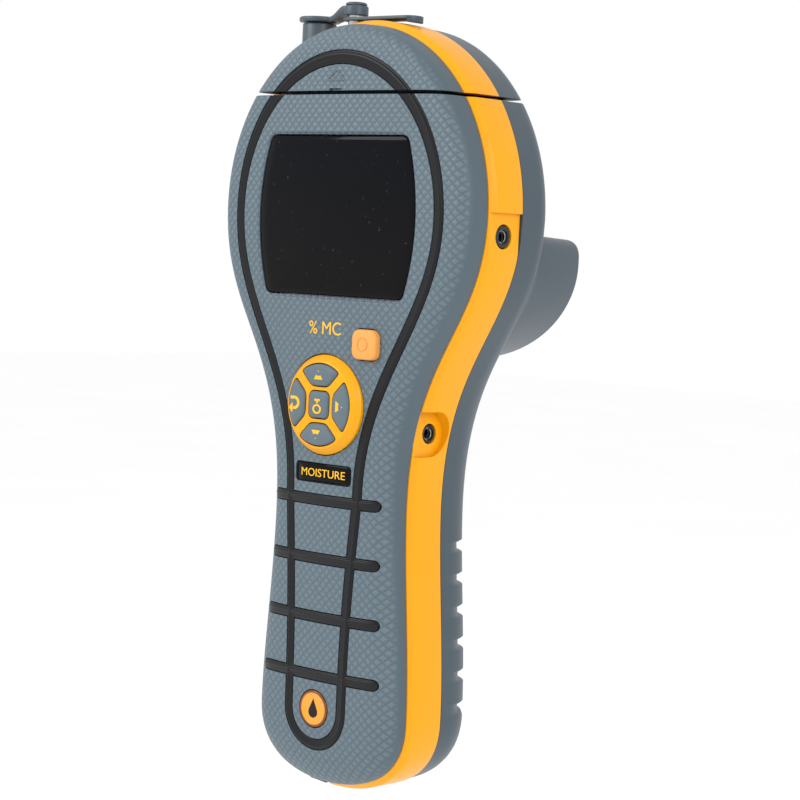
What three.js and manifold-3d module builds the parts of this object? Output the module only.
// Hand-held moisture meter: a paddle-shaped case in two shells round a band, with a display, a thumb
// pad, a sensor dome behind the head, and a pull-off cap over the moisture pins.
// Millimetres. X runs across the case, Y from the front face to the back, Z from the heel to the head.
// Inside this file y = 0 is the seam between front shell and band, and z = 0 lies just under the heel.
import * as THREE from "three";
import Module from "manifold-3d";
import { mergeVertices } from "three/addons/utils/BufferGeometryUtils.js";

const wasm = await Module();
wasm.setup();

// ---------- driving dimensions ----------
const GAP = 0.3; // clearance between pieces that touch
const RUNNING = 0.3; // clearance round a piece that moves
const WALL = 2.2;

// Case outline, seen from the front.
const HEAD_HALF_WIDTH = 43.8;
const HEAD_Z = 154;
const HEAD_RISE = 48.8;
const NECK_HALF_WIDTH = 21.5;
const NECK_Z = 79;
const NECK_PULL_TOP = 29.5; // how far the head keeps its width below its widest place
const NECK_PULL_LOW = 40.3; // how far the neck keeps its width above its narrowest place
const HEEL_HALF_WIDTH = 25;
const HEEL_Z = 21;
const HEEL_BOTTOM_Z = 2.2;
const HEEL_CORNER_DROP = 11.5;
const HEEL_CORNER_WIDTH = 16;
const GRIP_Z = 50; // middle of the hand grip

// Front shell.
const FACE_Y_AT_ZERO = -8.5;
const FACE_SLOPE = 0.0155; // the front face leans out towards the head
const FACE_CROWN = 2.7;
const FACE_EDGE = 7;
const FACE_GRIP_POWER = 2; // the rolled edge is a quarter circle on the grip and squarer on the head
const FACE_HEAD_POWER = 3.4;
const FACE_POWER_LOW_Z = 40;
const FACE_POWER_HIGH_Z = 125;
const FACE_LAND = 1.2;

// Side band.
const BAND_DEPTH = 12.6;
const BAND_PROUD = 1.5;
const BAND_CHAMFER = 1.6;
const BAND_REAR_CHAMFER = 0.7;
const BAND_THICK = 4.5;

// Rear shell.
const REAR_PROUD = 1;
const REAR_HEAD_Y = 26.5;
const REAR_GRIP_Y = 29.7;
const REAR_HEAD_EDGE = 7;
const REAR_GRIP_EDGE = 13;
const REAR_BLEND_LOW_Z = 105;
const REAR_BLEND_HIGH_Z = 145;
const GRIP_GROOVES = 6;
const GROOVE_FIRST_Z = 23.6;
const GROOVE_PITCH = 8.6;
const GROOVE_WIDTH = 2.8;
const GROOVE_DEPTH = 1.1;
const GROOVE_START_Y = 19;

// Sensor dome behind the head.
const DOME_TOP_Z = 149.5;
const DOME_HALF_WIDTH = 36;
const DOME_SHOULDER_Z = 143;
const DOME_LOW_Z = 115.7;
const DOME_CORNER = 5;
const DOME_RIM_Y = 49.7;
const DOME_RIM_BEVEL = 1.5;
const DOME_FLARE = 1.055; // the root's size over the rim's
const DOME_WALL = 2.5;

// Cap over the pins.
const SPLIT_Z = 184.5;
const SPLIT_GAP = 1;
const LINER_WALL = 1.6;
const LINER_FRONT_Y = -1.8;
const LINER_REAR_Y = 20;

// Display.
const WINDOW_TOP_Z = 173.4;
const WINDOW_LOW_Z = 131.7;
const WINDOW_END_HALF_WIDTH = 24.2;
const WINDOW_BULGE = 3.1;
const WINDOW_CORNER = 1.6;
const WINDOW_RECESS = 0.5;
const WINDOW_THICK = 1.6;

// Inlay: a keyhole-shaped loop with four cross bars.
const TRIM_WIDTH = 2.6;
const TRIM_PROUD = 0.3;
const TRIM_DEPTH = 0.8;
const TRIM_HEAD_HALF_WIDTH = 35.3;
const TRIM_HEAD_Z = 153;
const TRIM_HEAD_RISE = 40.7;
const TRIM_NECK_HALF_WIDTH = 12;
const TRIM_NECK_Z = 80;
const TRIM_FOOT_HALF_WIDTH = 9.4;
const TRIM_FOOT_Z = 22.6;
const BAR_COUNT = 4;
const BAR_FIRST_Z = 31.8;
const BAR_PITCH = 15.47;
const BAR_HEIGHT = 2.6;
const BAR_SIDE_MARGIN = 4.2; // bar tip to the side of the case, lowest bar
const BAR_SIDE_MARGIN_STEP = -0.45; // change of that margin from each bar to the next above

// Keys.
const KEY_TRAVEL = 1;
const KEY_FLANGE = 0.7;
const NAV_Z = 103.3;
const NAV_RADIUS = 13.1;
const NAV_PROUD = 2;
const NAV_SKIRT = 1.8; // how far the pad's rim slopes inwards
const NAV_LIP = 1.4; // how far the pad's flange reaches behind the shell
const NAV_FLANGE = 0.9; // thickness of the flange that holds the pad behind the shell
const NAV_KEYS_RADIUS = 10.7;
const NAV_KEY_PROUD = 3;
const NAV_KEY_INNER = 4.9; // centre of the pad to an outer key's flat side
const NAV_ARM_HALF = 1.5;
const CENTRE_KEY_HALF = 3.5;
const FUNCTION_X = 13.7;
const FUNCTION_Z = 119.8;
const FUNCTION_WIDTH = 8.4;
const FUNCTION_HEIGHT = 7.8;
const FUNCTION_PROUD = 1.5;

// Badge and emblem.
const BADGE_Z = 85.2;
const BADGE_WIDTH = 19.4;
const BADGE_HEIGHT = 4.8;
const EMBLEM_Z = 22.8;
const EMBLEM_RADIUS = 4.9;
const INLAY_DEPTH = 0.9;

// Jack sockets in the right side of the band.
const UPPER_JACK_Z = 149.1;
const UPPER_JACK_RADIUS = 2.9;
const UPPER_FLAT_DEPTH = 1.3; // below the band's widest place
const UPPER_FLAT_X = HEAD_HALF_WIDTH + BAND_PROUD - UPPER_FLAT_DEPTH;
const UPPER_FLAT_TOP_Z = 155.1;
const UPPER_FLAT_LOW_Z = 139;
const LOWER_JACK_Z = 97.2;
const LOWER_JACK_RADIUS = 2.4;
const POCKET_FLOOR_X = 22.5;
const POCKET_RADIUS = 6;
const JACK_BORE = 1.78;
const JACK_BODY_LENGTH = 11;
const JACK_BODY_HALF = 3;
const JACK_BARREL_LENGTH = 4.5;

// Probe sleeve, covers and their post, all on the band's middle plane.
const SLEEVE_X = -23.8;
const SLEEVE_RADIUS = 4.6;
const SLEEVE_BORE = 3.3;
const SLEEVE_TOP_Z = 204.4;
const SOCKET_RADIUS = 3.8;
const SOCKET_BORE = 2.6;
const POST_X = -10.6;
const POST_RADIUS = 2;
const POST_HEAD_HEIGHT = 0.8;
const COVER_THICK = 1.4;
const COVER_RADIUS = 5.6;
const COVER_STRAP_HALF = 2.2;
const RING_LOW_Z = 206.2;
const RING_HIGH_Z = 208.8;
const RING_WALL = 1;
const PULL_NOTCH_X = -1.2; // thumbnail notch in the foot of the cap's face
const PULL_NOTCH_HALF = 2.2;
const PULL_NOTCH_HEIGHT = 0.6;
const PORT_COVER_END_X = 12.3;
const PORT_COVER_Z = 204.65;
const PORT_COVER_THICK = 0.9;
const PORT_COVER_HALF = 3.4;
const PORT_LIP_DROP = 0.85;

// Pins and what carries them.
const PIN_SPACING = 16;
const PIN_RADIUS = 1.1;
const PIN_TIP_Z = 195.5;
const PIN_FOOT_Z = 179;
const BLOCK_LOW_Z = 177;
const PLATEAU_RISE = 2.6;
const PIN_NUT_RADIUS = 2.6;
const PIN_NUT_HEIGHT = 2.2;

// Electronics and battery.
const BOARD_THICK = 1.6;
const BOARD_LOW_Z = 76;
const BOARD_HIGH_Z = 175;
const DISPLAY_MODULE_THICK = 2.6;
const MAT_THICK = 0.8;
const BUZZER_RADIUS = 5;
const ANTENNA_THICK = 1.6;
const BATTERY_WIDTH = 26.5;
const BATTERY_THICK = 17.5;
const BATTERY_HEIGHT = 46.5;
const BATTERY_LOW_Z = 18.6;
const BATTERY_REAR_Y = 24.6;
const TRAY_WALL = 1.3;
const DOOR_HALF_WIDTH = 13.2;
const DOOR_LOW_Z = 15.3;
const DOOR_HIGH_Z = 72;
const DOOR_INNER_Y = 27;

// Screws through the rear shell into posts of the front shell.
const SCREW_RADIUS = 1.2;
const SCREW_HEAD_RADIUS = 2.3;
const SCREW_POST_RADIUS = 2.9;
const SCREW_HEAD_SEAT_Y = 21;
const SCREW_LENGTH = 17;
const SCREWS = [
  { x: 33.5, z: 168 },
  { x: 15.8, z: 83 },
];

// Strap eyelet in the heel of the band.
const EYELET_LEFT_X = -14;
const EYELET_RIGHT_X = -2.5;
const EYELET_DEPTH = 8;
const EYELET_HOLE = 1.6;

// ---------- solids ----------
const FAR = 400;

function solid(geometry) {
  const bare = geometry.clone();
  bare.deleteAttribute("normal");
  bare.deleteAttribute("uv");
  const merged = mergeVertices(bare, 1e-4);
  return new wasm.Manifold(
    new wasm.Mesh({
      numProp: 3,
      vertProperties: new Float32Array(merged.attributes.position.array),
      triVerts: new Uint32Array(merged.index.array),
    }),
  );
}

function geometryOf(body) {
  const mesh = body.getMesh();
  const geometry = new THREE.BufferGeometry();
  geometry.setAttribute("position", new THREE.BufferAttribute(mesh.vertProperties, 3));
  geometry.setIndex(new THREE.BufferAttribute(mesh.triVerts, 1));
  const flat = geometry.toNonIndexed();
  flat.computeVertexNormals();
  return flat;
}

function box(x0, x1, y0, y1, z0, z1) {
  const geometry = new THREE.BoxGeometry(x1 - x0, y1 - y0, z1 - z0);
  return solid(geometry).translate([(x0 + x1) / 2, (y0 + y1) / 2, (z0 + z1) / 2]);
}

function rodY(x, z, radius, y0, y1, sides = 20) {
  const geometry = new THREE.CylinderGeometry(radius, radius, y1 - y0, sides);
  return solid(geometry).translate([x, (y0 + y1) / 2, z]);
}

function rodX(y, z, radius, x0, x1, sides = 20) {
  const geometry = new THREE.CylinderGeometry(radius, radius, x1 - x0, sides).rotateZ(Math.PI / 2);
  return solid(geometry).translate([(x0 + x1) / 2, y, z]);
}

function rodZ(x, y, radius, z0, z1, sides = 20, topRadius = radius) {
  const geometry = new THREE.CylinderGeometry(topRadius, radius, z1 - z0, sides).rotateX(Math.PI / 2);
  return solid(geometry).translate([x, y, (z0 + z1) / 2]);
}

// Extrudes a shape drawn in (x, z) from y0 to y1.
function plateY(shape, y0, y1, curveSegments = 8) {
  const geometry = new THREE.ExtrudeGeometry(shape, { depth: y1 - y0, bevelEnabled: false, curveSegments });
  return solid(geometry.rotateX(Math.PI / 2)).translate([0, y1, 0]);
}

function roundedRect(cx, cz, width, height, radius) {
  const x = width / 2;
  const z = height / 2;
  const shape = new THREE.Shape();
  shape.moveTo(cx - x + radius, cz - z);
  shape.lineTo(cx + x - radius, cz - z);
  shape.absarc(cx + x - radius, cz - z + radius, radius, -Math.PI / 2, 0);
  shape.lineTo(cx + x, cz + z - radius);
  shape.absarc(cx + x - radius, cz + z - radius, radius, 0, Math.PI / 2);
  shape.lineTo(cx - x + radius, cz + z);
  shape.absarc(cx - x + radius, cz + z - radius, radius, Math.PI / 2, Math.PI);
  shape.lineTo(cx - x, cz - z + radius);
  shape.absarc(cx - x + radius, cz - z + radius, radius, Math.PI, Math.PI * 1.5);
  return shape;
}

function disc(cx, cz, radius) {
  const shape = new THREE.Shape();
  shape.absarc(cx, cz, radius, 0, Math.PI * 2);
  return shape;
}

// ---------- case outline ----------
// Right half of the outline from the crown to the heel, as [x, z] points.
function halfOutline() {
  const path = new THREE.CurvePath();
  const side = new THREE.Vector2(HEAD_HALF_WIDTH, HEAD_Z);
  const neck = new THREE.Vector2(NECK_HALF_WIDTH, NECK_Z);
  const heel = new THREE.Vector2(HEEL_HALF_WIDTH, HEEL_Z);
  const gripRun = NECK_Z - HEEL_Z;
  path.add(new THREE.EllipseCurve(0, HEAD_Z, HEAD_HALF_WIDTH, HEAD_RISE, Math.PI / 2, 0, true));
  path.add(
    new THREE.CubicBezierCurve(
      side,
      new THREE.Vector2(HEAD_HALF_WIDTH, HEAD_Z - NECK_PULL_TOP),
      new THREE.Vector2(NECK_HALF_WIDTH, NECK_Z + NECK_PULL_LOW),
      neck,
    ),
  );
  path.add(
    new THREE.CubicBezierCurve(
      neck,
      new THREE.Vector2(NECK_HALF_WIDTH, NECK_Z - 0.3 * gripRun),
      new THREE.Vector2(HEEL_HALF_WIDTH, HEEL_Z + 0.33 * gripRun),
      heel,
    ),
  );
  path.add(
    new THREE.CubicBezierCurve(
      heel,
      new THREE.Vector2(HEEL_HALF_WIDTH, HEEL_Z - HEEL_CORNER_DROP),
      new THREE.Vector2(HEEL_CORNER_WIDTH, HEEL_BOTTOM_Z),
      new THREE.Vector2(0, HEEL_BOTTOM_Z),
    ),
  );
  const steps = [9, 6, 3, 6];
  const points = [];
  path.curves.forEach((curve, i) => {
    const part = curve.getPoints(steps[i]);
    points.push(...(i === 0 ? part : part.slice(1)));
  });
  points[0].x = 0;
  return points.map((p) => [p.x, p.y]);
}
const HALF = halfOutline();

// The point of the case's spine that an outline point is measured from.
const SPINE_LOW_Z = HEEL_Z + 3;
function spineZ(z) {
  return Math.min(Math.max(z, SPINE_LOW_Z), HEAD_Z);
}

// Distance from the spine to the outline, in the direction of the point (x, z).
function reach(x, z) {
  const foot = spineZ(z);
  const dx = Math.abs(x);
  const dz = z - foot;
  const length = Math.hypot(dx, dz);
  if (length < 1e-6) return halfWidthAt(z);
  for (let i = 0; i + 1 < HALF.length; i += 1) {
    const [ax, az] = HALF[i];
    const ex = HALF[i + 1][0] - ax;
    const ez = HALF[i + 1][1] - az;
    const cross = (dx * ez - dz * ex) / length;
    if (Math.abs(cross) < 1e-12) continue;
    const along = (ax * ez - (az - foot) * ex) / cross;
    const share = (ax * dz - (az - foot) * dx) / length / cross;
    if (along > 0 && share > -1e-6 && share < 1 + 1e-6) return along;
  }
  return length;
}

function halfWidthAt(z) {
  const i = Math.max(1, HALF.findIndex((p) => p[1] <= z));
  const [ax, az] = HALF[i - 1];
  const [bx, bz] = HALF[i];
  return bx + ((ax - bx) * (z - bz)) / (az - bz);
}

function smooth(t) {
  const s = Math.min(Math.max(t, 0), 1);
  return s * s * (3 - 2 * s);
}

function mix(a, b, t) {
  return a + (b - a) * t;
}

function faceBase(z) {
  return FACE_Y_AT_ZERO - FACE_SLOPE * z;
}

// How far an edge of the given radius has fallen away, 0 to 1, at a distance in from the side. A power
// of 2 makes it a quarter circle, a higher one squarer.
function edgeFall(inset, radius, power = 2) {
  const t = Math.min(Math.max((radius - inset) / radius, 0), 1);
  return 1 - (1 - t ** power) ** (1 / power);
}

function facePower(z) {
  const share = (z - FACE_POWER_LOW_Z) / (FACE_POWER_HIGH_Z - FACE_POWER_LOW_Z);
  return mix(FACE_GRIP_POWER, FACE_HEAD_POWER, smooth(share));
}

// Front face of the case over (x, z), at a distance in from the side.
function frontY(x, z, inset) {
  const full = reach(x, z);
  const face = faceBase(z) + FACE_CROWN * ((full - inset) / full) ** 2;
  return mix(face, -FACE_LAND, edgeFall(inset, FACE_EDGE, facePower(z)));
}

function headShare(z) {
  return smooth((z - REAR_BLEND_LOW_Z) / (REAR_BLEND_HIGH_Z - REAR_BLEND_LOW_Z));
}

function rearY(x, z, inset) {
  const edge = mix(REAR_GRIP_EDGE, REAR_HEAD_EDGE, headShare(z));
  const back = mix(REAR_GRIP_Y, REAR_HEAD_Y, headShare(z));
  return back - edge * edgeFall(inset, edge);
}

// A ring of points round the outline, moved in by an inset, each at its own depth.
function ring(inset, depthAt) {
  const insetAt = typeof inset === "function" ? inset : () => inset;
  const right = HALF.map(([x, z]) => {
    const foot = spineZ(z);
    const length = Math.hypot(x, z - foot);
    const scale = (length - insetAt(z)) / length;
    return [x * scale, foot + (z - foot) * scale, x, z];
  });
  const [foot, beside] = [right.at(-1), right.at(-2)];
  foot[1] = Math.min(foot[1], beside[1] - 0.1);
  const left = right.slice(1, -1).reverse().map(([x, z, ox, oz]) => [-x, z, -ox, oz]);
  return [...right, ...left].map(([x, z, ox, oz]) => [x, depthAt(ox, oz), z]);
}

// A closed body through rings of equal length, front to back, its ends filled across the width.
function loft(rings, columns, fillFront, fillBack) {
  const positions = [];
  const count = rings[0].length;
  const half = count / 2;
  const quad = (a, b, c, d) => positions.push(...a, ...b, ...c, ...a, ...c, ...d);
  for (let r = 0; r + 1 < rings.length; r += 1) {
    for (let i = 0; i < count; i += 1) {
      const j = (i + 1) % count;
      quad(rings[r][i], rings[r][j], rings[r + 1][j], rings[r + 1][i]);
    }
  }
  const fill = (edge, depthAt, reversed) => {
    const row = (i) => {
      const a = edge[i];
      const b = edge[(count - i) % count];
      if (a === b) return Array(columns + 1).fill(a);
      return Array.from({ length: columns + 1 }, (_, k) => {
        const t = k / columns;
        const x = mix(a[0], b[0], t);
        const y = k === 0 ? a[1] : k === columns ? b[1] : depthAt(x, a[2], mix(a[1], b[1], t));
        return [x, y, a[2]];
      });
    };
    for (let i = 0; i < half; i += 1) {
      const upper = row(i);
      const lower = row(i + 1);
      for (let k = 0; k < columns; k += 1) {
        const corners = [upper[k], upper[k + 1], lower[k + 1], lower[k]];
        if (reversed) corners.reverse();
        quad(...corners);
      }
    }
  };
  fill(rings[0], fillFront, false);
  fill(rings[rings.length - 1], fillBack, true);
  const geometry = new THREE.BufferGeometry();
  geometry.setAttribute("position", new THREE.Float32BufferAttribute(positions, 3));
  const merged = mergeVertices(geometry, 1e-4);
  const index = merged.index.array;
  const kept = [];
  for (let i = 0; i < index.length; i += 3) {
    const [a, b, c] = [index[i], index[i + 1], index[i + 2]];
    if (a !== b && b !== c && c !== a) kept.push(a, b, c);
  }
  merged.setIndex(kept);
  return solid(merged.toNonIndexed());
}

// A straight-sided body of the outline between two depths.
function slab(inset, y0, y1) {
  const flat = (x, z, y) => y;
  return loft([ring(inset, () => y0), ring(inset, () => y1)], 1, flat, flat);
}

// Rings down the rounded edge, as shares of its radius; the hollow is coarser than the outside.
const OUTSIDE_STEPS = [0, 0.12, 0.45, 1];
const HOLLOW_STEPS = [0, 0.15, 0.45, 1];

// Front half of the case down to the seam, moved in by a wall.
function frontBody(wall) {
  const shares = wall ? HOLLOW_STEPS : OUTSIDE_STEPS;
  const rings = shares.map((share) => {
    const inset = share * FACE_EDGE;
    return ring(inset + wall, (x, z) => frontY(x, z, inset) + wall);
  });
  const seam = ring(wall, () => -GAP / 2 + wall);
  const face = (x, z) => {
    const here = Math.hypot(x, z - spineZ(z));
    return faceBase(z) + FACE_CROWN * (here / reach(x, z)) ** 2 + wall;
  };
  return loft([...rings.reverse(), seam], wall ? 2 : 4, face, (x, z, y) => y);
}

// Rear half of the case from the band back, moved in by a wall and a further sink of its back.
function rearBody(wall, sink) {
  const thick = wall + sink;
  const shares = wall ? HOLLOW_STEPS : OUTSIDE_STEPS;
  const edgeAt = (z) => mix(REAR_GRIP_EDGE, REAR_HEAD_EDGE, headShare(z));
  const rings = shares.map((share) =>
    ring((z) => share * edgeAt(z) + thick - REAR_PROUD, (x, z) => rearY(x, z, share * edgeAt(z)) - thick),
  );
  const seam = ring(() => thick - REAR_PROUD, () => BAND_DEPTH + GAP / 2 - thick);
  const back = (x, z) => mix(REAR_GRIP_Y, REAR_HEAD_Y, headShare(z)) - thick;
  return loft([seam, ...rings], 2, (x, z, y) => y, back);
}

function above(z) {
  return box(-FAR, FAR, -FAR, FAR, z, FAR);
}

function below(z) {
  return box(-FAR, FAR, -FAR, FAR, -FAR, z);
}

// ---------- pieces set in the front face ----------
const FRONT_OUTER = frontBody(0);

// A piece of the given outline that lies in the front face, between two depths below it.
function inFace(shape, top, bottom) {
  return plateY(shape, -30, -2, 6).intersect(FRONT_OUTER.translate([0, top, 0])).subtract(
    FRONT_OUTER.translate([0, bottom, 0]),
  );
}

// The pocket for such a piece.
function facePocket(shape, bottom) {
  return plateY(shape, -30, -2, 6).subtract(FRONT_OUTER.translate([0, bottom, 0]));
}

function windowShape(grow) {
  const x = WINDOW_END_HALF_WIDTH + grow;
  const top = WINDOW_TOP_Z + grow;
  const low = WINDOW_LOW_Z - grow;
  const middle = (top + low) / 2;
  const r = WINDOW_CORNER + grow;
  const bulge = x + 2 * WINDOW_BULGE; // control point of a quadratic that bulges by WINDOW_BULGE
  const shape = new THREE.Shape();
  shape.moveTo(-x + r, low);
  shape.lineTo(x - r, low);
  shape.quadraticCurveTo(x, low, x + 0.2 * r, low + r);
  shape.quadraticCurveTo(bulge, middle, x + 0.2 * r, top - r);
  shape.quadraticCurveTo(x, top, x - r, top);
  shape.lineTo(-x + r, top);
  shape.quadraticCurveTo(-x, top, -x - 0.2 * r, top - r);
  shape.quadraticCurveTo(-bulge, middle, -x - 0.2 * r, low + r);
  shape.quadraticCurveTo(-x, low, -x + r, low);
  return shape;
}

// Middle line of the inlay's loop, right half from the crown to the foot.
function trimLine() {
  const path = new THREE.CurvePath();
  const side = new THREE.Vector2(TRIM_HEAD_HALF_WIDTH, TRIM_HEAD_Z);
  const neck = new THREE.Vector2(TRIM_NECK_HALF_WIDTH, TRIM_NECK_Z);
  const foot = new THREE.Vector2(TRIM_FOOT_HALF_WIDTH, TRIM_FOOT_Z);
  const run = TRIM_NECK_Z - TRIM_FOOT_Z;
  path.add(
    new THREE.EllipseCurve(0, TRIM_HEAD_Z, TRIM_HEAD_HALF_WIDTH, TRIM_HEAD_RISE, Math.PI / 2, 0, true),
  );
  path.add(
    new THREE.CubicBezierCurve(
      side,
      new THREE.Vector2(TRIM_HEAD_HALF_WIDTH, TRIM_HEAD_Z - 26.5),
      new THREE.Vector2(TRIM_NECK_HALF_WIDTH, TRIM_NECK_Z + 33.2),
      neck,
    ),
  );
  path.add(
    new THREE.CubicBezierCurve(
      neck,
      new THREE.Vector2(TRIM_NECK_HALF_WIDTH - 1, TRIM_NECK_Z - 0.25 * run),
      new THREE.Vector2(TRIM_FOOT_HALF_WIDTH, TRIM_FOOT_Z + 0.5 * run),
      foot,
    ),
  );
  path.add(
    new THREE.EllipseCurve(
      0,
      TRIM_FOOT_Z,
      TRIM_FOOT_HALF_WIDTH,
      TRIM_FOOT_HALF_WIDTH,
      0,
      -Math.PI / 2,
      true,
    ),
  );
  const steps = [8, 5, 2, 4];
  const line = [];
  path.curves.forEach((curve, i) => {
    const from = i === 0 ? 0 : 1;
    for (let k = from; k <= steps[i]; k += 1) {
      const p = curve.getPoint(k / steps[i]);
      const t = curve.getTangent(k / steps[i]);
      line.push({ x: p.x, z: p.y, nx: -t.y, nz: t.x });
    }
  });
  return line;
}

function trimLoop(width) {
  const line = trimLine();
  const edge = (offset) => {
    const right = line.map((p) => new THREE.Vector2(p.x + p.nx * offset, p.z + p.nz * offset));
    right[0].x = 0;
    right[right.length - 1].x = 0;
    const left = right.slice(1, -1).reverse().map((p) => new THREE.Vector2(-p.x, p.y));
    return [...right, ...left];
  };
  const shape = new THREE.Shape(edge(width / 2));
  shape.holes.push(new THREE.Path(edge(-width / 2).reverse()));
  return shape;
}

function barShapes(grow) {
  return Array.from({ length: BAR_COUNT }, (_, i) => {
    const z = BAR_FIRST_Z + i * BAR_PITCH;
    const tip = halfWidthAt(z) - BAR_SIDE_MARGIN - i * BAR_SIDE_MARGIN_STEP;
    const height = BAR_HEIGHT + 2 * grow;
    return roundedRect(0, z, 2 * (tip + grow), height, height / 2 - 0.05);
  });
}

function trimBody(grow, top, bottom) {
  let plan = plateY(trimLoop(TRIM_WIDTH + 2 * grow), -30, -2, 1);
  barShapes(grow).forEach((bar) => {
    plan = plan.add(plateY(bar, -30, -2, 3));
  });
  const sunk = FRONT_OUTER.translate([0, bottom, 0]);
  return top === null ? plan.subtract(sunk) : plan.intersect(FRONT_OUTER.translate([0, top, 0])).subtract(sunk);
}

// ---------- thumb pad ----------
const NAV_FACE_Y = faceBase(NAV_Z);
const WEB_TOP_Y = NAV_FACE_Y - NAV_PROUD;
const NAV_LOW_HALF_WIDTH = halfWidthAt(NAV_Z - NAV_RADIUS);
const NAV_RIM_DROP = FACE_CROWN * ((NAV_RADIUS + NAV_LIP) / NAV_LOW_HALF_WIDTH) ** 2;
const WEB_BOTTOM_Y = NAV_FACE_Y + NAV_RIM_DROP + WALL + GAP;
const KEY_FLANGE_Y = WEB_BOTTOM_Y + GAP;
const KEY_BOTTOM_Y = KEY_FLANGE_Y + NAV_FLANGE;
const MAT_TOP_Y = KEY_BOTTOM_Y + KEY_TRAVEL + 0.1;
const BOARD_Y = MAT_TOP_Y + MAT_THICK + GAP;

// An outer key points up; its flat side faces the centre of the pad.
function outerKeyShape(grow) {
  const radius = NAV_KEYS_RADIUS + grow;
  const inner = NAV_KEY_INNER - grow;
  const arm = (NAV_ARM_HALF - grow) * Math.SQRT2;
  const low = Math.max(inner - arm, 0.5);
  const angle = Math.PI / 4 + Math.asin((NAV_ARM_HALF - grow) / radius);
  const shape = new THREE.Shape();
  shape.moveTo(-low, inner);
  shape.lineTo(low, inner);
  shape.lineTo(radius * Math.cos(angle), radius * Math.sin(angle));
  shape.absarc(0, 0, radius, angle, Math.PI - angle);
  shape.lineTo(-low, inner);
  return shape;
}

function navPlate(shape, quarter, y0, y1) {
  const turned = plateY(shape, y0, y1, 5).rotate([0, 90 * quarter, 0]);
  return turned.translate([0, 0, NAV_Z]);
}

const NAV_KEYS = [
  { name: "up_key", quarter: 0 },
  { name: "right_key", quarter: 1 },
  { name: "down_key", quarter: 2 },
  { name: "back_key", quarter: 3 },
];

function centreKeyShape(grow) {
  const size = 2 * (CENTRE_KEY_HALF + grow);
  return roundedRect(0, 0, size, size, 1.4 + grow);
}

function keyBody(shapeAt, quarter, proud) {
  const head = navPlate(shapeAt(0), quarter, NAV_FACE_Y - proud, KEY_BOTTOM_Y);
  const flange = navPlate(shapeAt(KEY_FLANGE), quarter, KEY_FLANGE_Y, KEY_BOTTOM_Y);
  return head.add(flange);
}

function navWeb() {
  const rear = WEB_BOTTOM_Y + NAV_FLANGE;
  const flangeRoom = NAV_KEYS_RADIUS + KEY_FLANGE + RUNNING;
  const lip = NAV_RADIUS + NAV_LIP;
  const profile = [
    [0, WEB_TOP_Y],
    [NAV_RADIUS - NAV_SKIRT, WEB_TOP_Y],
    [NAV_RADIUS, NAV_FACE_Y],
    [NAV_RADIUS, WEB_BOTTOM_Y],
    [lip, WEB_BOTTOM_Y],
    [lip, rear],
    [flangeRoom, rear],
    [flangeRoom, WEB_BOTTOM_Y],
    [0, WEB_BOTTOM_Y],
  ];
  const points = profile.map(([r, y]) => new THREE.Vector2(r, y));
  let web = solid(new THREE.LatheGeometry(points, 32)).translate([0, 0, NAV_Z]);
  NAV_KEYS.forEach(({ quarter }) => {
    web = web.subtract(navPlate(outerKeyShape(RUNNING), quarter, WEB_TOP_Y - 5, rear + 5));
  });
  return web.subtract(navPlate(centreKeyShape(RUNNING), 0, WEB_TOP_Y - 5, rear + 5));
}

function faceAt(x, z) {
  return faceBase(z) + FACE_CROWN * (x / halfWidthAt(z)) ** 2;
}
const FUNCTION_FACE_Y = faceAt(FUNCTION_X, FUNCTION_Z);
function functionShape(grow) {
  return roundedRect(
    FUNCTION_X,
    FUNCTION_Z,
    FUNCTION_WIDTH + 2 * grow,
    FUNCTION_HEIGHT + 2 * grow,
    2 + grow,
  );
}

function functionKey() {
  const outerX = FUNCTION_X + FUNCTION_WIDTH / 2 + KEY_FLANGE;
  const flangeY = faceAt(outerX, FUNCTION_Z - FUNCTION_HEIGHT / 2 - KEY_FLANGE) + WALL + GAP;
  const head = plateY(functionShape(0), FUNCTION_FACE_Y - FUNCTION_PROUD, KEY_BOTTOM_Y, 4);
  return head.add(plateY(functionShape(KEY_FLANGE), flangeY, KEY_BOTTOM_Y, 4));
}

// ---------- shells ----------
const BAND_MID_Y = BAND_DEPTH / 2;
const BODY_TOP_Z = SPLIT_Z - SPLIT_GAP / 2;
const CAP_LOW_Z = SPLIT_Z + SPLIT_GAP / 2;

function everyScrew(action) {
  SCREWS.forEach(({ x, z }) => [-x, x].forEach((side) => action(side, z)));
}

// The case hollow, front half: it runs on past the seam so that the cut is clean.
const FRONT_INNER = frontBody(WALL);
const frontSkin = FRONT_OUTER.subtract(FRONT_INNER);

function frontShell() {
  let shell = frontSkin.intersect(below(BODY_TOP_Z));
  everyScrew((x, z) => {
    const post = rodY(x, z, SCREW_POST_RADIUS, faceBase(z) + WALL - 0.5, 12, 14);
    shell = shell.add(post.intersect(FRONT_OUTER.add(slab(WALL, -1, 13))));
    shell = shell.subtract(rodY(x, z, SCREW_RADIUS + GAP, 2, 14, 12));
  });
  shell = shell.subtract(trimBody(GAP, null, TRIM_DEPTH + GAP));
  shell = shell.subtract(plateY(windowShape(GAP), -30, -2, 6));
  shell = shell.subtract(rodY(0, NAV_Z, NAV_RADIUS + GAP, -30, -2, 32));
  shell = shell.subtract(plateY(functionShape(RUNNING), -30, -2, 4));
  const badge = roundedRect(0, BADGE_Z, BADGE_WIDTH + 2 * GAP, BADGE_HEIGHT + 2 * GAP, 0.8 + GAP);
  shell = shell.subtract(facePocket(badge, INLAY_DEPTH + GAP));
  return shell.subtract(facePocket(disc(0, EMBLEM_Z, EMBLEM_RADIUS + GAP), INLAY_DEPTH + GAP));
}

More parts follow.
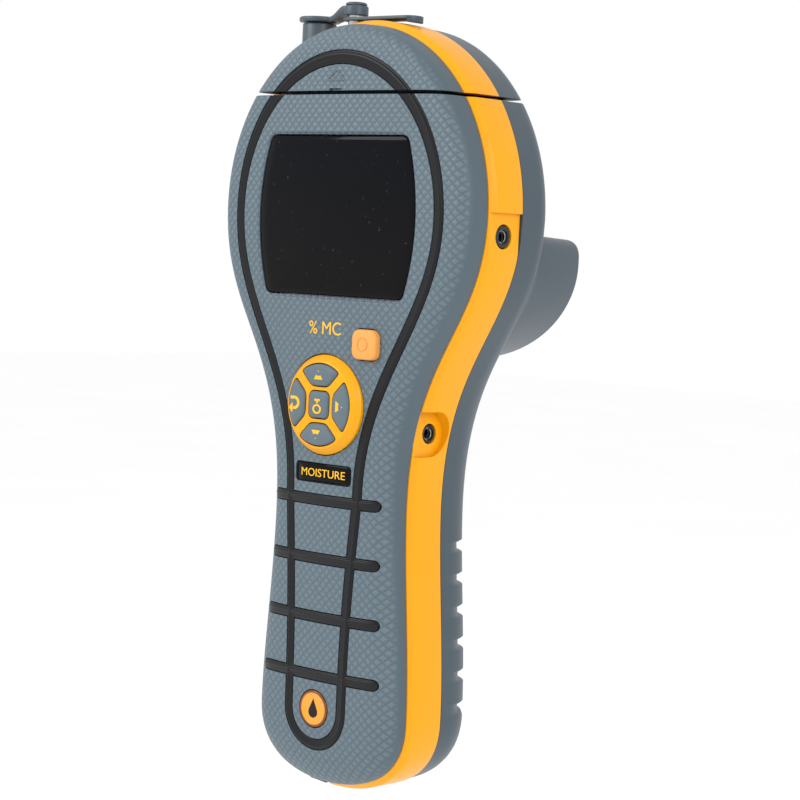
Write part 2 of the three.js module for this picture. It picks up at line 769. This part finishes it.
function bandRing() {
  const rim = (inset, y) => ring(inset, () => y);
  const flat = (x, z, y) => y;
  const outer = loft(
    [
      rim(0, GAP / 2),
      rim(-BAND_PROUD, GAP / 2 + BAND_CHAMFER),
      rim(-BAND_PROUD, BAND_DEPTH - GAP / 2 - BAND_REAR_CHAMFER),
      rim(-BAND_PROUD + 0.6, BAND_DEPTH - GAP / 2),
    ],
    1,
    flat,
    flat,
  );
  return outer.subtract(slab(BAND_THICK - BAND_PROUD, -5, BAND_DEPTH + 5));
}

function eyeletRegion(grow) {
  return box(
    EYELET_LEFT_X - grow,
    EYELET_RIGHT_X + grow,
    -5,
    EYELET_DEPTH + grow,
    -5,
    HEEL_BOTTOM_Z + BAND_THICK + 2,
  );
}

function sideBand() {
  let band = bandRing().intersect(below(BODY_TOP_Z));
  band = band.subtract(box(UPPER_FLAT_X, FAR, -5, BAND_DEPTH + 5, UPPER_FLAT_LOW_Z, UPPER_FLAT_TOP_Z));
  band = band.subtract(rodX(BAND_MID_Y, UPPER_JACK_Z, UPPER_JACK_RADIUS + GAP, 30, 60));
  const bodyRoom = JACK_BODY_HALF + GAP;
  const upperBodyRoom = box(
    0,
    UPPER_FLAT_X - JACK_BARREL_LENGTH + 2 * GAP,
    BAND_MID_Y - bodyRoom,
    BAND_MID_Y + bodyRoom,
    UPPER_JACK_Z - bodyRoom,
    UPPER_JACK_Z + bodyRoom,
  );
  band = band.subtract(upperBodyRoom);
  band = band.subtract(rodX(BAND_MID_Y - 1, LOWER_JACK_Z, POCKET_RADIUS, POCKET_FLOOR_X, 60, 28));
  const front = box(
    POCKET_FLOOR_X,
    60,
    -5,
    BAND_MID_Y - 1,
    LOWER_JACK_Z - POCKET_RADIUS,
    LOWER_JACK_Z + POCKET_RADIUS,
  );
  band = band.subtract(front);
  band = band.subtract(rodX(BAND_MID_Y, LOWER_JACK_Z, LOWER_JACK_RADIUS + GAP, 10, 60));
  return band.subtract(eyeletRegion(GAP).subtract(slab(BAND_THICK - BAND_PROUD - 1, -9, FAR)));
}

function strapEyelet() {
  const outer = slab(-BAND_PROUD + 0.4, GAP / 2, EYELET_DEPTH);
  const inner = slab(BAND_THICK - BAND_PROUD - 1 - GAP, -9, FAR);
  const body = outer.subtract(inner).intersect(eyeletRegion(0));
  const holeX = (EYELET_LEFT_X + EYELET_RIGHT_X) / 2;
  return body.subtract(rodZ(holeX, EYELET_DEPTH / 2, EYELET_HOLE, -5, 12, 12));
}

// Outline of the dome as [x, z] points, from the left shoulder over the top and round below.
function domeOutline(grow) {
  const w = DOME_HALF_WIDTH + grow;
  const top = DOME_TOP_Z + grow;
  const low = DOME_LOW_Z - grow;
  const corner = Math.max(DOME_CORNER + grow, 1);
  const shoulder = Math.min(DOME_SHOULDER_Z, top - corner - 0.5);
  const shape = new THREE.Shape();
  shape.moveTo(-w, shoulder);
  shape.absellipse(0, shoulder, w, shoulder - low, Math.PI, 2 * Math.PI);
  shape.lineTo(w, top - corner);
  shape.quadraticCurveTo(w, top, w - corner, top);
  shape.lineTo(-w + corner, top);
  shape.quadraticCurveTo(-w, top, -w, top - corner);
  return shape;
}

function domeSolid(grow, y0, y1, bevel) {
  const geometry = new THREE.ExtrudeGeometry(domeOutline(grow), {
    depth: y1 - y0,
    bevelEnabled: bevel > 0,
    bevelThickness: bevel,
    bevelSize: bevel,
    bevelOffset: -bevel,
    bevelSegments: 2,
    curveSegments: 10,
  });
  const turned = geometry.rotateX(Math.PI / 2).translate(0, y1, 0);
  const middle = (DOME_TOP_Z + DOME_LOW_Z) / 2;
  const place = turned.attributes.position;
  for (let i = 0; i < place.count; i += 1) {
    const share = (DOME_RIM_Y - place.getY(i)) / (DOME_RIM_Y - REAR_HEAD_Y);
    const scale = mix(1, DOME_FLARE, Math.min(share, 1));
    place.setX(i, place.getX(i) * scale);
    place.setZ(i, middle + (place.getZ(i) - middle) * scale);
  }
  return solid(turned);
}

function gripGrooves() {
  const cuts = Array.from({ length: GRIP_GROOVES }, (_, i) => {
    const z = GROOVE_FIRST_Z + i * GROOVE_PITCH;
    return box(-FAR, FAR, GROOVE_START_Y, FAR, z - GROOVE_WIDTH / 2, z + GROOVE_WIDTH / 2);
  });
  return wasm.Manifold.union(cuts).subtract(rearBody(0, GROOVE_DEPTH));
}
const GROOVES = gripGrooves();
const REAR_OUTER = rearBody(0, 0);
const REAR_INNER = rearBody(WALL, 0);
const rearSkin = REAR_OUTER.subtract(REAR_INNER);

function doorRegion(grow) {
  return box(
    -DOOR_HALF_WIDTH - grow,
    DOOR_HALF_WIDTH + grow,
    DOOR_INNER_Y - 3 * grow,
    FAR,
    DOOR_LOW_Z - grow,
    DOOR_HIGH_Z + grow,
  );
}

function rearShell() {
  const dome = domeSolid(0, REAR_HEAD_Y - 6, DOME_RIM_Y - DOME_RIM_BEVEL, DOME_RIM_BEVEL);
  const hollow = domeSolid(-DOME_WALL, REAR_HEAD_Y - 12, DOME_RIM_Y - DOME_WALL, 0);
  const filled = REAR_OUTER.add(dome);
  let shell = filled.subtract(REAR_INNER);
  shell = shell.subtract(hollow).intersect(below(BODY_TOP_Z));
  shell = shell.subtract(GROOVES);
  everyScrew((x, z) => {
    const post = rodY(x, z, SCREW_POST_RADIUS + 0.6, 12 + GAP, 40, 14).intersect(REAR_OUTER);
    shell = shell.add(post);
    shell = shell.subtract(rodY(x, z, SCREW_RADIUS + GAP, 0, 60, 12));
    shell = shell.subtract(rodY(x, z, SCREW_HEAD_RADIUS + GAP, SCREW_HEAD_SEAT_Y, 60, 14));
  });
  return shell.subtract(doorRegion(GAP));
}

function batteryDoor() {
  return REAR_OUTER.intersect(doorRegion(0)).subtract(GROOVES);
}

// ---------- cap ----------
const LINER_INSET = BAND_THICK - BAND_PROUD + GAP;

function sleeveHole(body) {
  return body.subtract(rodZ(SLEEVE_X, BAND_MID_Y, SLEEVE_RADIUS + GAP, SPLIT_Z - 20, 230, 24));
}

function capBand() {
  const band = sleeveHole(bandRing().intersect(above(CAP_LOW_Z)));
  return band.subtract(rodZ(POST_X, BAND_MID_Y, POST_RADIUS + GAP, SPLIT_Z, 230, 16));
}

function capLiner() {
  const outer = slab(LINER_INSET, LINER_FRONT_Y, LINER_REAR_Y);
  const inner = slab(LINER_INSET + LINER_WALL, LINER_FRONT_Y + LINER_WALL, LINER_REAR_Y - LINER_WALL);
  return sleeveHole(outer.subtract(inner).intersect(above(CAP_LOW_Z)));
}

function probeSleeve() {
  const low = BODY_TOP_Z + PLATEAU_RISE + GAP;
  const tube = rodZ(SLEEVE_X, BAND_MID_Y, SLEEVE_RADIUS, low, SLEEVE_TOP_Z, 24);
  return tube.subtract(rodZ(SLEEVE_X, BAND_MID_Y, SLEEVE_BORE, 0, 300, 24));
}

function crownZ(x) {
  return HEAD_Z + (HEAD_RISE + BAND_PROUD) * Math.sqrt(1 - (x / (HEAD_HALF_WIDTH + BAND_PROUD)) ** 2);
}

function coverPost() {
  const foot = crownZ(POST_X) - BAND_THICK + 0.8;
  const headLow = RING_HIGH_Z + GAP;
  const headTop = headLow + POST_HEAD_HEIGHT;
  const shaft = rodZ(POST_X, BAND_MID_Y, POST_RADIUS, foot, headTop - 0.1, 16);
  const head = rodZ(POST_X, BAND_MID_Y, POST_RADIUS + 0.9, headLow, headTop, 16, POST_RADIUS);
  return shaft.add(head);
}

function probeCover() {
  const low = SLEEVE_TOP_Z + GAP;
  const high = low + COVER_THICK;
  const bore = POST_RADIUS + RUNNING;
  const ringRadius = bore + RING_WALL;
  const lid = rodZ(SLEEVE_X, BAND_MID_Y, COVER_RADIUS, low, high, 28);
  const strap = new THREE.Shape();
  const start = SLEEVE_X + 2;
  const end = POST_X - bore - 0.2;
  const bend = end - 4.6;
  strap.moveTo(start, low);
  strap.lineTo(bend, low);
  strap.bezierCurveTo(bend + 2.4, low, end - 2.2, RING_LOW_Z, end, RING_LOW_Z);
  strap.lineTo(end, RING_HIGH_Z);
  strap.bezierCurveTo(end - 2.2, RING_HIGH_Z, bend + 1.4, high, bend - 1, high);
  strap.lineTo(start, high);
  const strip = plateY(strap, BAND_MID_Y - COVER_STRAP_HALF, BAND_MID_Y + COVER_STRAP_HALF, 8);
  const ringBody = rodZ(POST_X, BAND_MID_Y, ringRadius, RING_LOW_Z, RING_HIGH_Z, 24);
  const hole = rodZ(POST_X, BAND_MID_Y, bore, 0, 300, 24);
  return lid.add(strip).add(ringBody).subtract(hole);
}

function portCover() {
  const low = PORT_COVER_Z;
  const high = low + PORT_COVER_THICK;
  const bore = POST_RADIUS + RUNNING;
  const outline = new THREE.Shape();
  outline.moveTo(POST_X, BAND_MID_Y - PORT_COVER_HALF);
  outline.lineTo(PORT_COVER_END_X - PORT_COVER_HALF, BAND_MID_Y - PORT_COVER_HALF);
  outline.absarc(PORT_COVER_END_X - PORT_COVER_HALF, BAND_MID_Y, PORT_COVER_HALF, -Math.PI / 2, Math.PI / 2);
  outline.lineTo(POST_X, BAND_MID_Y + PORT_COVER_HALF);
  outline.absarc(POST_X, BAND_MID_Y, PORT_COVER_HALF, Math.PI / 2, Math.PI * 1.5);
  const plate = solid(
    new THREE.ExtrudeGeometry(outline, { depth: high - low, bevelEnabled: false, curveSegments: 8 }),
  ).translate([0, 0, low]);
  const lipX = PORT_COVER_END_X - PORT_COVER_HALF;
  const lip = rodZ(lipX, BAND_MID_Y, PORT_COVER_HALF, low - PORT_LIP_DROP, low + 0.1, 20).intersect(
    box(lipX + 1.4, FAR, -FAR, FAR, 0, FAR),
  );
  return plate.add(lip).subtract(rodZ(POST_X, BAND_MID_Y, bore, 0, 300, 24));
}

// ---------- pins and electrode block ----------
function electrodeBlock() {
  const base = slab(LINER_INSET, LINER_FRONT_Y, LINER_REAR_Y).intersect(
    box(-FAR, FAR, -FAR, FAR, BLOCK_LOW_Z, BODY_TOP_Z),
  );
  const shrink = LINER_WALL + RUNNING;
  const plateau = slab(LINER_INSET + shrink, LINER_FRONT_Y + shrink, LINER_REAR_Y - shrink).intersect(
    box(-FAR, FAR, -FAR, FAR, BODY_TOP_Z - 1, BODY_TOP_Z + PLATEAU_RISE),
  );
  let block = base.add(plateau);
  block = block.subtract(rodZ(SLEEVE_X, BAND_MID_Y, SLEEVE_RADIUS + GAP, 0, 300, 24));
  [-1, 1].forEach((side) => {
    block = block.subtract(
      rodZ((side * PIN_SPACING) / 2, BAND_MID_Y, PIN_RADIUS + GAP, PIN_FOOT_Z - GAP, 300, 14),
    );
  });
  return block;
}

function pin(side) {
  const x = (side * PIN_SPACING) / 2;
  const shank = rodZ(x, BAND_MID_Y, PIN_RADIUS, PIN_FOOT_Z, PIN_TIP_Z - 4, 14);
  return shank.add(rodZ(x, BAND_MID_Y, PIN_RADIUS, PIN_TIP_Z - 4, PIN_TIP_Z, 14, 0.15));
}

function pinNut(side) {
  const x = (side * PIN_SPACING) / 2;
  const low = BODY_TOP_Z + PLATEAU_RISE + GAP;
  const nut = rodZ(x, BAND_MID_Y, PIN_NUT_RADIUS, low, low + PIN_NUT_HEIGHT, 6);
  return nut.subtract(rodZ(x, BAND_MID_Y, PIN_RADIUS + GAP, 0, 300, 14));
}

function probeSocket() {
  const body = rodZ(SLEEVE_X, BAND_MID_Y, SOCKET_RADIUS, BLOCK_LOW_Z - 8, BODY_TOP_Z + PLATEAU_RISE - 0.5, 24);
  return body.subtract(rodZ(SLEEVE_X, BAND_MID_Y, SOCKET_BORE, BLOCK_LOW_Z - 4, 300, 24));
}

// ---------- inside ----------
function jackSocket(z, faceX, radius) {
  const barrelEnd = faceX - JACK_BARREL_LENGTH;
  const barrel = rodX(BAND_MID_Y, z, radius, barrelEnd, faceX - 0.2, 20);
  const body = box(
    barrelEnd - JACK_BODY_LENGTH,
    barrelEnd + 0.1,
    BAND_MID_Y - JACK_BODY_HALF,
    BAND_MID_Y + JACK_BODY_HALF,
    z - JACK_BODY_HALF,
    z + JACK_BODY_HALF,
  );
  const boreEnd = barrelEnd - JACK_BODY_LENGTH + 1.5;
  return barrel.add(body).subtract(rodX(BAND_MID_Y, z, JACK_BORE, boreEnd, 90, 16));
}

function circuitBoard() {
  const outline = slab(WALL + 3.4, BOARD_Y, BOARD_Y + BOARD_THICK);
  let board = outline.intersect(box(-FAR, FAR, -FAR, FAR, BOARD_LOW_Z, BOARD_HIGH_Z));
  everyScrew((x, z) => {
    board = board.subtract(rodY(x, z, SCREW_POST_RADIUS + 0.6, -30, 30, 14));
  });
  return board;
}

function displayModule() {
  const rear = BOARD_Y - GAP;
  const half = WINDOW_END_HALF_WIDTH + WINDOW_BULGE;
  return box(-half, half, rear - DISPLAY_MODULE_THICK, rear, WINDOW_LOW_Z - 2, WINDOW_TOP_Z);
}

function keypadMat() {
  const shape = new THREE.Shape();
  const half = NAV_RADIUS;
  shape.moveTo(-half, NAV_Z - half);
  shape.lineTo(half, NAV_Z - half);
  shape.lineTo(half + 4, FUNCTION_Z + 5);
  shape.lineTo(-half - 4, FUNCTION_Z + 5);
  return plateY(shape, MAT_TOP_Y, MAT_TOP_Y + MAT_THICK);
}

function batteryTray() {
  const half = BATTERY_WIDTH / 2 + GAP;
  const front = BATTERY_REAR_Y - BATTERY_THICK - GAP;
  const low = BATTERY_LOW_Z - GAP;
  const high = BATTERY_LOW_Z + BATTERY_HEIGHT + GAP;
  const outer = box(
    -half - TRAY_WALL,
    half + TRAY_WALL,
    front - TRAY_WALL,
    BATTERY_REAR_Y - 1.2,
    low - TRAY_WALL,
    high + TRAY_WALL + 3,
  );
  const snapRoom = box(-half, half, front, FAR, high - 0.1, high + 3);
  return outer.subtract(box(-half, half, front, FAR, low, high)).subtract(snapRoom);
}

function battery() {
  const half = BATTERY_WIDTH / 2;
  const y = BATTERY_REAR_Y - BATTERY_THICK / 2;
  const top = BATTERY_LOW_Z + BATTERY_HEIGHT;
  const can = plateY(
    roundedRect(0, BATTERY_LOW_Z + BATTERY_HEIGHT / 2, 2 * half, BATTERY_HEIGHT, 1.5),
    BATTERY_REAR_Y - BATTERY_THICK,
    BATTERY_REAR_Y,
    3,
  );
  return can.add(rodZ(-6.3, y, 2.6, top - 0.5, top + 1, 14)).add(rodZ(6.3, y, 3.4, top - 0.5, top + 1, 6));
}

function batterySnap() {
  const y = BATTERY_REAR_Y - BATTERY_THICK / 2;
  const low = BATTERY_LOW_Z + BATTERY_HEIGHT + 1 + GAP;
  return box(-11, 11, y - 5, y + 5, low, low + 1.2);
}

function antennaPlate() {
  return domeSolid(-DOME_WALL - 4, DOME_RIM_Y - DOME_WALL - 4, DOME_RIM_Y - DOME_WALL - 4 + ANTENNA_THICK, 0);
}

function caseScrew(x, z) {
  const seat = SCREW_HEAD_SEAT_Y + GAP;
  const shank = rodY(x, z, SCREW_RADIUS, seat - SCREW_LENGTH, seat + 0.5, 12);
  return shank.add(rodY(x, z, SCREW_HEAD_RADIUS, seat, seat + 1.8, 14));
}

// ---------- materials ----------
function finish(color, roughness, metalness = 0) {
  return new THREE.MeshStandardMaterial({ color, roughness, metalness });
}
const greyTextured = finish(0x6b7d87, 0.65);
const greySmooth = finish(0x58666f, 0.5);
const amber = finish(0xfbb034, 0.42);
const blackRubber = finish(0x2b2b31, 0.7);
const glossBlack = finish(0x0a0a0c, 0.08);
const keyGrey = finish(0x7c8c96, 0.6);
const orange = finish(0xf79a2e, 0.45);
const steel = finish(0xb9bcc0, 0.3, 1);
const boardGreen = finish(0x1e5a3a, 0.5);
const batteryFoil = finish(0x3a3d42, 0.4);

// ---------- assembly ----------
const group = new THREE.Group();
const inner = new THREE.Group();
inner.position.set(0, -BAND_MID_Y, -GRIP_Z); // the origin is the middle of the hand grip
group.add(inner);

function add(name, body, material) {
  const mesh = new THREE.Mesh(geometryOf(body), material);
  mesh.name = name;
  inner.add(mesh);
}

add("front_shell", frontShell(), greyTextured);
add("side_band", sideBand(), amber);
add("rear_shell", rearShell(), greySmooth);
const trim = trimBody(0, -TRIM_PROUD, TRIM_DEPTH);
add("front_inlay", trim.intersect(below(BODY_TOP_Z)), blackRubber);
add("display_window", inFace(windowShape(0), WINDOW_RECESS, WINDOW_RECESS + WINDOW_THICK), glossBlack);
add("display_module", displayModule(), batteryFoil);
add("main_board", circuitBoard(), boardGreen);
add("keypad_mat", keypadMat(), blackRubber);
add("nav_web", navWeb(), amber);
NAV_KEYS.forEach(({ name, quarter }) => {
  add(name, keyBody(outerKeyShape, quarter, NAV_KEY_PROUD), keyGrey);
});
add("centre_key", keyBody(centreKeyShape, 0, NAV_KEY_PROUD), keyGrey);
add("function_key", functionKey(), orange);
const badgeShape = roundedRect(0, BADGE_Z, BADGE_WIDTH, BADGE_HEIGHT, 0.8);
add("badge_plate", inFace(badgeShape, 0.2, INLAY_DEPTH), glossBlack);
add("emblem_disc", inFace(disc(0, EMBLEM_Z, EMBLEM_RADIUS), -0.2, INLAY_DEPTH), orange);
add("upper_jack", jackSocket(UPPER_JACK_Z, UPPER_FLAT_X, UPPER_JACK_RADIUS), blackRubber);
add("lower_jack", jackSocket(LOWER_JACK_Z, POCKET_FLOOR_X, LOWER_JACK_RADIUS), blackRubber);
add("strap_eyelet", strapEyelet(), blackRubber);
add("antenna_plate", antennaPlate(), boardGreen);
const buzzerY = BOARD_Y + BOARD_THICK + GAP;
add("buzzer", rodY(0, 166, BUZZER_RADIUS, buzzerY, buzzerY + 4, 20), blackRubber);
add("electrode_block", electrodeBlock(), blackRubber);
add("probe_socket", probeSocket(), glossBlack);
add("left_pin", pin(-1), steel);
add("right_pin", pin(1), steel);
add("left_pin_nut", pinNut(-1), steel);
add("right_pin_nut", pinNut(1), steel);
add("battery_tray", batteryTray(), blackRubber);
add("battery", battery(), batteryFoil);
add("battery_snap", batterySnap(), blackRubber);
add("battery_door", batteryDoor(), greySmooth);
let screwNumber = 0;
everyScrew((x, z) => {
  screwNumber += 1;
  add(`case_screw_${screwNumber}`, caseScrew(x, z), steel);
});
const capChannel = trimBody(GAP, null, TRIM_DEPTH + GAP);
const pullNotch = box(
  PULL_NOTCH_X - PULL_NOTCH_HALF,
  PULL_NOTCH_X + PULL_NOTCH_HALF,
  -FAR,
  faceAt(PULL_NOTCH_X, CAP_LOW_Z) + 1,
  CAP_LOW_Z - 1,
  CAP_LOW_Z + PULL_NOTCH_HEIGHT,
);
const capSkin = frontSkin.intersect(above(CAP_LOW_Z));
add("cap_front", capSkin.subtract(capChannel).subtract(pullNotch), greyTextured);
add("cap_band", capBand(), amber);
add("cap_rear", rearSkin.intersect(above(CAP_LOW_Z)), greySmooth);
add("cap_inlay", trim.intersect(above(CAP_LOW_Z)), blackRubber);
add("cap_liner", capLiner(), blackRubber);
add("probe_sleeve", probeSleeve(), greySmooth);
add("cover_post", coverPost(), steel);
add("probe_cover", probeCover(), greySmooth);
add("port_cover", portCover(), greySmooth);

export default group;
